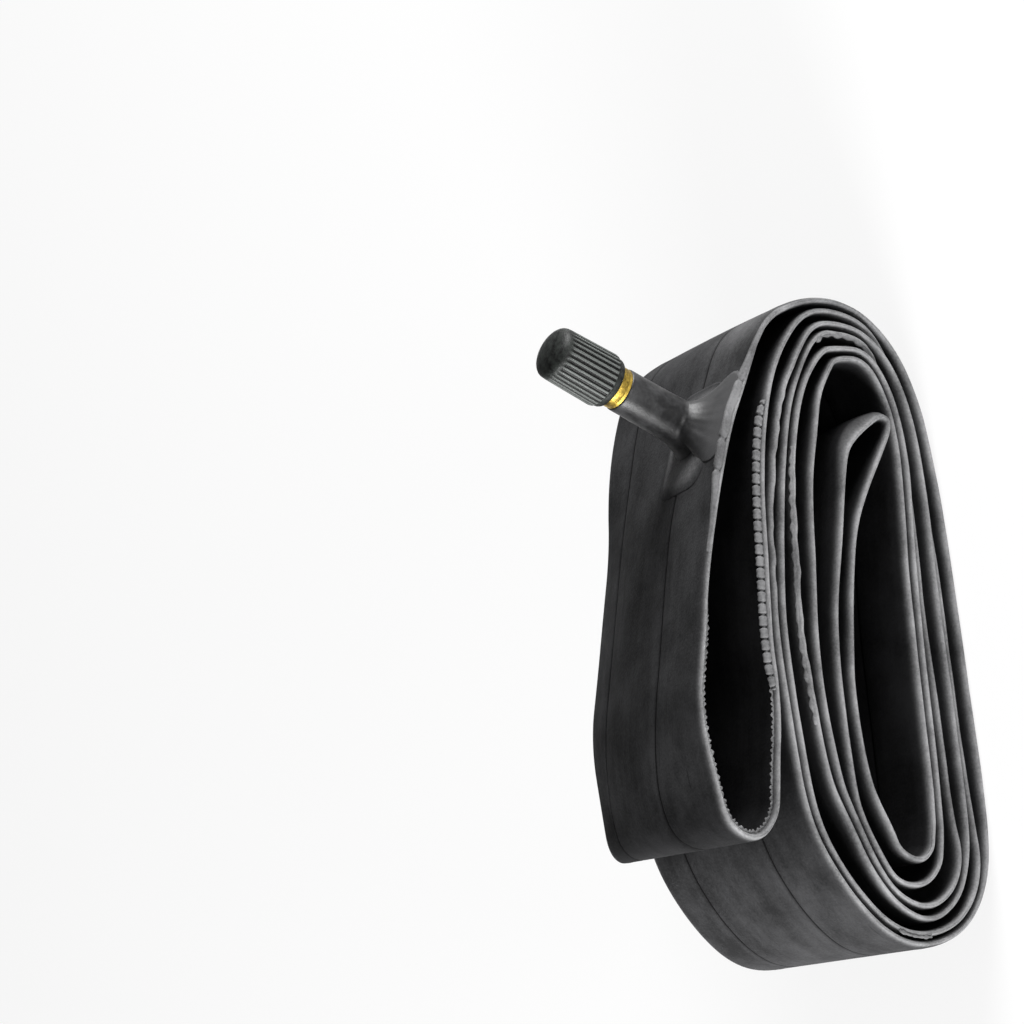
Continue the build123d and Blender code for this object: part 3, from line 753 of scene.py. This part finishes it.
BEADED, BEAD_STEP, BEAD_PITCH = (RING - 88.0, RING - 36.0), 0.14, 2.1
BEAD_Y, BEAD_WIDE, BEAD_HIGH = -22.3, 0.62, 0.78
BEAD_FADE = 4.0                      # the row sinks into the fold over this length at both ends
bead_u = np.arange(*BEADED, BEAD_STEP)
in_bead = np.mod((bead_u - bead_u[0]) / BEAD_PITCH, 1.0)
bead_size = 1 - 0.6 * np.exp(-((in_bead - 0.5) / 0.1) ** 2) - 0.05 * np.cos(4 * pi * in_bead)
fading = (np.clip((bead_u - bead_u[0]) / BEAD_FADE, 0, 1)
          * np.clip((bead_u[-1] - bead_u) / BEAD_FADE, 0, 1)) ** 0.5
bead_middle = -0.55 - 0.6 * fading   # the row's middle rises out of the strap as it fades in
edge_rope("mould_beads", bead_u, np.full(len(bead_u), BEAD_Y), bead_middle,
          BEAD_WIDE * bead_size, BEAD_HIGH * bead_size * (0.3 + 0.7 * fading))

# %% [markdown]
# ## Puckers and a welt
#
# Where the coil was squeezed the fold has puckered into small lumps, no two alike.  Beside the
# valve the fold is drawn up into a welt with a few creases across it.  Both are ropes again, with
# radii that swell and pinch along the way.

# %% Puckers and the valve's welt
LUMP_STEPS = 9                       # rows on each lump
RECESSED_RACK = len(LEFT_RACKS) + 11


def lumps(start, end, pitch, y, height, size):
    """A rope of lumps of uneven size along the fold between two places on the ring: each lump
    swells by a half sine, and two slow sines make one lump larger than the next."""
    u = np.arange(start, end, pitch / LUMP_STEPS)
    lump = np.mod(u / pitch, 1.0)
    uneven = 0.8 + 0.3 * np.sin(1.9 * u) * np.sin(0.7 * u + 1)
    swollen = (0.45 + 0.55 * np.sin(pi * lump) ** 0.7) * uneven
    return u, np.full(len(u), y), np.full(len(u), height), 0.8 * size * swollen, size * swollen


recess = ring_at[STEPS * order.index(("rack", RECESSED_RACK, 1))]
edge_rope("recessed_lumps",
          *lumps(recess - 3.5, recess + 4.0, pitch=1.25, y=-23.0, height=-0.6, size=0.34))
for number, (start, end) in enumerate(PUCKERED):
    edge_rope(f"puckered_fold_{number + 1}",
              *lumps(start, end, pitch=2.6, y=-22.5, height=0.35, size=0.62))

WELT, WELT_STEP, WELT_Y = (44.0, 94.0), 0.25, -22.45
WELT_MIDDLE, WELT_HALF = 68.0, 14.0
WELT_PINCHES = (59.0, 64.8, 76.5)    # creases across the welt
welt_u = np.arange(*WELT, WELT_STEP)
swell = np.exp(-((welt_u - WELT_MIDDLE) / WELT_HALF) ** 4)
pinch = sum(0.4 * np.exp(-((welt_u - at) / 0.4) ** 2) for at in WELT_PINCHES)
welt_middle = 0.1 + 0.8 * swell      # and how high the welt's middle stands off the strap's
edge_rope("valve_welt", welt_u, WELT_Y + 0.1 * np.sin(welt_u), welt_middle,
          (0.5 + 0.2 * swell) * (1 - pinch), (0.45 + 0.5 * swell) * (1 - pinch))

# %% [markdown]
# ## Torn flash
#
# Where the mould's halves met, a film of rubber was squeezed out and torn off.  What is left is a
# saw-toothed fringe less than a millimetre high.  It is a thin strip whose height is a saw-tooth
# of the length, with each tooth a little different.

# %% Flash fringe
TOOTH, FLASH_STEP, FLASH_FADE = 1.05, 0.15, 5.0
FLASHED = (RING - 80.0, RING + 36.0)
FLASH_Y = -21.7 + np.array([-0.15, -0.35, -0.2, 0.15])          # across: root, tip, tip, root
FLASH_ROUND = np.array([0.0, 0.8, 0.9, 1.7])                    # length round its section
FILM = 0.7                           # the film's own height off the strap's middle
flash_u = np.arange(*FLASHED, FLASH_STEP)
tooth = np.mod(flash_u / TOOTH + 0.15 * np.sin(flash_u * 1.7), 1.0)
tooth_height = 0.2 + 0.5 * (1 - np.abs(2 * tooth - 1)) ** 0.8
tooth_height = tooth_height * (0.9 + 0.2 * np.sin(flash_u * 2.9))
flash_fade = (np.clip((flash_u - flash_u[0]) / FLASH_FADE, 0, 1)
              * np.clip((flash_u[-1] - flash_u) / FLASH_FADE, 0, 1))
tip = -(FILM + tooth_height * flash_fade)[:, None]
flash_y = FLASH_Y[None, :] + 0 * tip
flash_h = np.concatenate([-0.3 + 0 * tip, tip, tip, -0.5 + 0 * tip], axis=1)
flash_rows = np.mod(np.broadcast_to(flash_u[:, None], flash_y.shape), RING)
flash_points = skin_points(flash_rows, flash_y, flash_h)
flash_points[[0, -1]] = flash_points[[0, -1]].mean(axis=1, keepdims=True)
whole = np.ones(flash_y.shape)
flash = grid_object("torn_flash", flash_points, flash_u, FLASH_ROUND, poles=True,
                    marks={"edge": WEAR_AND_HIGHLIGHT * whole, "line": 0 * whole, "outer": whole})
flash.data.materials.append(tube_butyl)
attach(flash, "tube")

# %% [markdown]
# ## The valve's place
#
# The record of the part says where its valve stem stands and which way it points.  Everything on
# the valve is turned about that line, so one function turns a profile: distances from the axis
# and heights above the tube become rings of points.

# %% Turning on the valve's axis
mount = next(m for m in frame["record"]["mounts"] if m["name"] == "valve_stem")
valve_up = np.array(mount["axis"])
STEM_RADIUS = mount["dims"]["r_mm"]
STEM_MIDDLE, STEM_TOP = 10.6, 17.0   # heights above the tube: of the mount, and of the rubber's end
seat = np.array(mount["pos_m"]) / MM - STEM_MIDDLE * valve_up
along = np.array([valve_up[2], 0.0, -valve_up[0]])
across = np.array([0.0, 1.0, 0.0])


def turned(radii, heights, turn):
    """Points at each radius and height off the valve's axis, for each turn round it: the seat,
    plus the radius times (along cos + across sin), plus the height up the axis."""
    radii, heights, turn = np.broadcast_arrays(radii, heights, turn)
    out = along * np.cos(turn)[..., None] + across * np.sin(turn)[..., None]
    return seat + radii[..., None] * out + heights[..., None] * valve_up


middle_line, _ = strap(stations_u, np.full(len(stations_u), seat[1]))
valve_u = stations_u[np.hypot(middle_line[:, 0] - seat[0], middle_line[:, 1] - seat[2]).argmin()]
print("valve seat at", seat.round(2), "mm, at", round(valve_u, 1), "mm along the ring")

# %% [markdown]
# ## The patch under the valve
#
# A thin patch of rubber is vulcanised to the tube to carry the valve.  Its rim is feathered.  It
# is a rounded oblong laid on the skin: rings that grow out from the middle over its top, and then
# shrink back underneath, so that it is closed.  A ring is a circle whose cosine and sine are
# raised to a power below one, which swells it towards its corners.

# %% Valve patch
PATCH_BELOW = 2.0                    # the patch reaches further along the tube below the stem
PATCH_HALF = (10.8, 8.0)             # half its length along the tube and half its width
SQUARE = 0.42                        # the power: 1 is an ellipse and 0 an oblong
PATCH_PROFILE = [(0.0, 0.3), (0.2, 0.3), (0.4, 0.3), (0.6, 0.3), (0.72, 0.29), (0.78, 0.26),
                 (0.83, 0.21), (0.88, 0.14), (0.92, 0.08), (0.96, 0.03), (1.0, 0.005),
                 (1.0, -0.15), (0.5, -0.2), (0.0, -0.2)]        # share of the reach, and lift
reach, lift = np.array(PATCH_PROFILE).T
turn = np.linspace(0, 2 * pi, 160, endpoint=False)
ring_reach, ring_turn = np.meshgrid(reach, turn, indexing="ij")
oblong = [np.sign(f) * np.abs(f) ** SQUARE for f in (np.cos(ring_turn), np.sin(ring_turn))]
patch_u = valve_u - PATCH_BELOW + PATCH_HALF[0] * ring_reach * oblong[0]
patch_y = seat[1] + PATCH_HALF[1] * ring_reach * oblong[1]
patch_points = skin_points(patch_u, patch_y, HALF_MIDDLE + lift[:, None] + 0 * patch_u)
patch_run = np.cumsum(np.r_[0, np.abs(np.diff(reach))]) * PATCH_HALF[0]
# the patch's raised top is painted lighter, a painted highlight on its lifted surface
patch_highlight = 0.06 + 1.5 * np.maximum(lift, 0)[:, None] + 0 * patch_u
patch = grid_object("patch_skin", patch_points, patch_run, turn * PATCH_HALF[1], poles=True,
                    marks={"edge": patch_highlight, "line": 0 * patch_u, "outer": 0 * patch_u + 1})
patch.data.materials.append(tube_butyl)
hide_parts("valve_patch")
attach(patch, "tube")

# %% [markdown]
# ## The stem's rubber
#
# The stem is covered with rubber that flares out into a foot.  On the side towards the fold the
# foot is drawn out like a tent, because the fold pulls on it.  The cover is a tube of points:
# straight up the stem it is turned, and below a height it runs down a curve, pulled towards a
# corner, to a point on the skin that is further away on the fold's side.

# %% The stem's straight part
HALF_TENT, TENT_SIDE = 1.15, 0.65    # how far round the tent reaches, and its side, in radians
COVER_PROFILE = [(-0.72, 16.0), (-0.7, 16.95), (-0.35, STEM_TOP), (-0.1, 16.93), (-0.02, 16.75),
                 (0.0, 16.4), (0.0, 14.0), (0.02, 11.0), (0.04, 8.5)]   # off the radius, height
TAPER = 0.16                         # how much wider it gets below that, down to the flare
FLARE_TOP, TENT_TOP = 4.2, 4.8       # heights at which the flare and the tent begin
turn = np.linspace(-pi, pi, 144, endpoint=False) - pi / 2
off_fold = np.abs(turn + pi / 2)     # angle from the fold's direction
tent = band(HALF_TENT - off_fold, 0.0, TENT_SIDE)
flare_top = FLARE_TOP + (TENT_TOP - FLARE_TOP) * tent
wider, heights = np.array(COVER_PROFILE).T[:, :, None]
stem_rings = turned(STEM_RADIUS + wider, heights, turn)
down = np.linspace(0, 1, 6)[1:, None]
lower_rings = turned(STEM_RADIUS + wider[-1] + TAPER * down,
                     heights[-1] + (flare_top - heights[-1]) * down, turn)
print("the flare begins", FLARE_TOP, "mm above the tube, the tent", TENT_TOP, "mm")

# %% [markdown]
# ## The flare and the foot
#
# From the straight part each line down the cover is a parabola between three points: where the
# straight part ends, a corner close to the stem, and the foot's rim on the skin.  Weak ridges run
# down it where the rubber is pulled.  Under the rim the cover turns back through the tube's wall
# and up inside the stem, so it is closed.

# %% The flare and the foot
BASE_REACH, FOLD_REACH = 5.7, 12.4   # of the foot all round, and towards the fold
PATCH_LIFT, FOOT_LIFT, BURIED = 0.3, 0.03, -0.35
CORNER_OUT, CORNER_UP = (0.7, 2.3), (1.6, 0.7)   # the curve's corner all round, and in the tent
INSIDE_RADIUS, INSIDE_HEIGHT = 2.4, 1.4


def on_skin(reach, height):
    """Points on the tube's outer face at a reach from the valve's seat, for each turn."""
    return skin_points(valve_u + reach * np.cos(turn), seat[1] + reach * np.sin(turn),
                       HALF_MIDDLE + height + 0 * turn)


def in_tent(pair):
    """The first value all round, and the second where the tent is."""
    return pair[0] + (pair[1] - pair[0]) * tent


to_fold = FOLD_REACH / np.cos(np.minimum(off_fold, HALF_TENT))
foot_reach = in_tent((BASE_REACH, to_fold))
corner_points = on_skin(STEM_RADIUS + in_tent(CORNER_OUT), in_tent(CORNER_UP))
flare_end = on_skin(foot_reach, FOOT_LIFT + PATCH_LIFT * (foot_reach < PATCH_HALF[1]))
t = np.linspace(0, 1, 20)[1:, None, None]
flare = (1 - t) ** 2 * lower_rings[-1] + 2 * t * (1 - t) * corner_points + t * t * flare_end
ridges = (0.035 * np.sin(11 * turn + 1.0) + 0.02 * np.sin(29 * turn)) * tent
flare = flare + np.sin(pi * t) * ridges[None, :, None] * valve_up
under = np.stack([on_skin(0.9 * foot_reach, BURIED), on_skin(5.0, BURIED)])
inside = turned(INSIDE_RADIUS, INSIDE_HEIGHT, turn[None, :])
cover_points = np.concatenate([stem_rings, lower_rings, flare, under, inside])
cover_length = np.r_[0, np.cumsum(np.linalg.norm(np.diff(cover_points[:, 0], axis=0), axis=1))]
above_flare = len(stem_rings) + len(lower_rings)
down_flare = np.clip((np.arange(len(cover_points)) - above_flare) / len(flare), 0, 1)
cover = grid_object("stem_cover", cover_points, cover_length, off_fold * STEM_RADIUS,
                    closed_rows=True, marks={"foot": down_flare[:, None] * tent})
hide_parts("stem_rubber")
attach(cover, "tube")

# %% [markdown]
# ## The collar's rim
#
# Between rubber and cap a brass collar shows.  Its broad upper rim is rolled over a shallow groove.
# A groove could be filled by a thicker collar, but the measured brass stays as it is, so the rim
# is a thin turned sleeve over it, rounded at both ends and closed on the inside.

# %% Collar rim
RIM_BOTTOM, RIM_TOP, RIM_RADIUS = 17.5, 19.16, 3.85
RIM_PROFILE = [(3.5, 17.6), (3.7, RIM_BOTTOM), (3.8, 17.54), (RIM_RADIUS, 17.65),
               (RIM_RADIUS, 18.3), (RIM_RADIUS, 19.0), (3.8, 19.12), (3.7, RIM_TOP), (3.5, 19.1)]
rim_r, rim_h = np.array(RIM_PROFILE).T
rim_turn = np.linspace(0, 2 * pi, 120, endpoint=False)
collar_rim = grid_object("collar_rim", turned(rim_r, rim_h, rim_turn[:, None]),
                         rim_turn * RIM_RADIUS, rim_h, closed_rows=True)
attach(collar_rim, "tube")

# %% [markdown]
# ## The core's spring
#
# Inside the valve a small spring pulls the pin up.  It is a wire wound on the axis: a circle
# carried along a helix.  When the pin is pressed its collar pushes the spring together, and a
# rigid piece can't show that.

# %% Core spring
SPRING_RADIUS, WIRE_RADIUS, SPRING_TURNS, ROWS_PER_TURN = 0.9, 0.13, 7, 40
SPRING_BOTTOM, SPRING_TOP = 17.58, 23.82         # middle of the wire at both ends
coil_turn = np.linspace(0, 2 * pi * SPRING_TURNS, ROWS_PER_TURN * SPRING_TURNS + 1)[:, None]
wire_turn = np.linspace(0, 2 * pi, 10, endpoint=False)[None, :]
wire = np.full((len(coil_turn), 1), WIRE_RADIUS)
wire[[0, -1]] = 0.0
rise = SPRING_BOTTOM + (SPRING_TOP - SPRING_BOTTOM) * coil_turn / coil_turn.max()
spring_points = turned(SPRING_RADIUS + wire * np.cos(wire_turn), rise + wire * np.sin(wire_turn),
                       coil_turn)
spring = grid_object("wound_spring", spring_points, coil_turn[:, 0] * SPRING_RADIUS,
                     wire_turn[0] * WIRE_RADIUS, poles=True)
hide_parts("core_spring")
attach(spring, "tube")
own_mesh(spring)

# %% [markdown]
# ## The dust cap
#
# The cap is moulded plastic: a smooth lip, thirty rounded ribs, and a low dome whose surface is a
# little blotchy.  It is a turned profile whose radius is pulled in between the ribs.  The profile
# runs from the top of the dome down the outside, round the lip, and up the bore to the roof.

# %% The cap's profile
CAP_BOTTOM, LIP_TOP, RIB_TOP, CAP_TOP = 19.32, 20.62, 30.3, 33.2
CAP_RADIUS, CAP_BORE, CAP_ROOF = 5.05, 4.0, 31.2
DOME_RADIUS, DOME_FOOT = 4.83, RIB_TOP + 0.5
CAP_TAPER = 0.2                      # how much narrower the ribs are at the top
HALF_PITCH, THREAD_DEPTH, THREAD_END = 0.397, 0.16, 30.2        # of the rings in the bore
dome = np.linspace(0, pi / 2, 12)
profile = [(DOME_RADIUS * sin(a) ** 0.9, DOME_FOOT + (CAP_TOP - DOME_FOOT) * cos(a) ** 0.75)
           for a in dome]
profile += [(CAP_RADIUS - CAP_TAPER * (1 - p), RIB_TOP + 0.3 - (RIB_TOP - 0.2 - LIP_TOP) * p)
            for p in np.linspace(0, 1, 14)]
profile += [(CAP_RADIUS, LIP_TOP + 0.25), (CAP_RADIUS - 0.05, LIP_TOP + 0.08),
            (CAP_RADIUS - 0.3, LIP_TOP), (CAP_RADIUS - 0.32, LIP_TOP - 0.3),
            (CAP_RADIUS - 0.42, CAP_BOTTOM + 0.25), (CAP_RADIUS - 0.55, CAP_BOTTOM)]
outer_points = len(profile)
profile += [(CAP_BORE + 0.1, CAP_BOTTOM), (CAP_BORE, CAP_BOTTOM + 0.1)]
thread = np.arange(LIP_TOP + 0.4, THREAD_END, HALF_PITCH)
profile += [(CAP_BORE + THREAD_DEPTH * (i % 2), h) for i, h in enumerate(thread)]
profile += [(CAP_BORE, CAP_ROOF), (0.0, CAP_ROOF)]
print("cap profile:", len(profile), "points,", outer_points, "of them outside")

# %% [markdown]
# ## The ribs
#
# Thirty ribs could be thirty pieces, but on the real cap they are one moulding with the rest.  So
# the radius is pulled in between them by a cosine, flattened at both ends to give each rib its
# square shoulders, and only inside a window of heights on the outside.

# %% Dust cap
RIBS, POINTS_PER_RIB, RIB_DEPTH = 30, 12, 0.34
cap_r, cap_h = np.array(profile).T
cap_turn = np.linspace(0, 2 * pi, RIBS * POINTS_PER_RIB, endpoint=False)
between = np.clip(0.5 + 1.1 * np.cos(RIBS * cap_turn), 0, 1)
between = between ** 2 * (3 - 2 * between)
window = (np.clip((cap_h - LIP_TOP - 0.1) / 0.15, 0, 1) * np.clip(RIB_TOP + 0.9 - cap_h, 0, 1)
          * (np.arange(len(cap_r)) < outer_points))[:, None]
radius = cap_r[:, None] - RIB_DEPTH * window * between
cap_points = turned(radius, cap_h[:, None], cap_turn)
cap_length = np.r_[0, np.cumsum(np.hypot(np.diff(cap_r), np.diff(cap_h)))]
# the mark rib carries a painted highlight on each crest, the mark groove painted shade between ribs
cap = grid_object("ribbed_cap", cap_points, cap_length, cap_turn * CAP_RADIUS, poles=True,
                  marks={"rib": window * (1 - between) ** 2, "groove": window * between})
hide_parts("dust_cap")
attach(cap, "dust_cap")

# %% [markdown]
# ## Finishes on the valve
#
# The stem's rubber is darker and smoother than the tube, mottled by the mould, and dull where the
# foot is stretched; the foot's tent is painted lighter towards the fold, a painted highlight.  The
# cap is black plastic, with a painted highlight on the ribs' crests and painted shade, black, in the
# grooves.  The brass has been handled, so brown tarnish lies over the yellow metal in blotches; its
# core, seals and spring are cleaner.  All of them are two colours in blotches with a fine bump over
# it, so one function makes them, and each finish gives its own sizes.


# %% Valve materials
STRETCHED_ROUGHNESS = 0.7
GRAINS_PER_BLOTCH = 6


def mottled(name, dark, light, roughness, blotch, metallic=0.0, marks=None, bump_size=0.1,
            gloss=0.5):
    """Two colours in blotches of a size and a fine bump, both in millimetres, and a further
    colour by each mark, laid over in turn.  The mark "foot" also dulls the surface."""
    material, tree, output = new_material(name)
    place = add(tree, "ShaderNodeTexCoord").outputs["Object"]
    blotches = add(tree, "ShaderNodeTexNoise", {
        "Vector": place, "Scale": per_metre(blotch), "Detail": 6.0, "Roughness": 0.65})
    spread = add(tree, "ShaderNodeMapRange", {
        "Value": blotches.outputs["Fac"], "From Min": 0.36, "From Max": 0.64})
    colour = add(tree, "ShaderNodeMix", {
        "Factor": spread.outputs[0], "A": linear(dark), "B": linear(light)},
        data_type="RGBA").outputs["Result"]
    for mark, further in (marks or {}).items():
        marked = add(tree, "ShaderNodeAttribute", attribute_name=mark).outputs["Fac"]
        colour = add(tree, "ShaderNodeMix", {"Factor": marked, "A": colour, "B": linear(further)},
                     data_type="RGBA").outputs["Result"]
        if mark == "foot":
            roughness = add(tree, "ShaderNodeMapRange", {
                "Value": marked, "To Min": roughness,
                "To Max": STRETCHED_ROUGHNESS}).outputs["Result"]
    grain = add(tree, "ShaderNodeTexNoise", {
        "Vector": place, "Scale": GRAINS_PER_BLOTCH * per_metre(blotch), "Detail": 4.0})
    bump = add(tree, "ShaderNodeBump", {
        "Height": grain.outputs["Fac"], "Strength": 0.5, "Distance": bump_size * MM})
    shader = add(tree, "ShaderNodeBsdfPrincipled", {
        "Base Color": colour, "Normal": bump.outputs[0], "Roughness": roughness,
        "Metallic": metallic, "Specular IOR Level": gloss})
    tree.links.new(shader.outputs[0], output.inputs[0])
    return material


# the mark foot paints the foot's tent lighter towards the fold, a painted highlight
stem_finish = mottled("satin_moulded_rubber", "#0c0c0d", "#303031", 0.42, 2.381,
                      marks={"foot": "#404041"}, bump_size=0.05, gloss=0.3)
# rib crests lighter as a painted highlight, grooves black as painted shade
cap_finish = mottled("black_moulded_plastic", "#010101", "#222523", 0.5, 1.1111,
                     marks={"rib": "#4c4f4d", "groove": "#010101"}, gloss=0.2)
brass_finish = mottled("tarnished_turned_brass", "#5e4e22", "#bfa24a", 0.46, 2.0, metallic=1.0)
core_finish = mottled("turned_core_brass", "#b08a3c", "#d8bb62", 0.28, 1.4286, metallic=1.0)
seal_finish = mottled("matt_seal_rubber", "#1c1c1c", "#2a2a2a", 0.6, 1.25, bump_size=0.3)
spring_finish = mottled("drawn_spring_wire", "#8d8d90", "#b4b4b8", 0.25, 1.1111, metallic=1.0)
print("finishes of the valve:", stem_finish.name, cap_finish.name, brass_finish.name)

# %% [markdown]
# ## Handing the finishes out
#
# A piece that was made above takes its finish directly.  The solids that still show as they were
# measured, such as the brass body and the core's parts, come with a plain material, so that is
# cleared first.

# %% Finishes on their pieces
cover.data.materials.append(stem_finish)
collar_rim.data.materials.append(brass_finish)
spring.data.materials.append(spring_finish)
cap.data.materials.append(cap_finish)
finishes = {"stem_brass": brass_finish, "core_plug": core_finish, "core_barrel": core_finish,
            "core_pin": core_finish, "core_cup": core_finish, "core_gasket": seal_finish,
            "cup_washer": seal_finish}
for name, material in finishes.items():
    node = frame["nodes"][name]
    node.data.materials.clear()
    node.data.materials.append(material)
print("materials:", [m.name for m in bpy.data.materials])
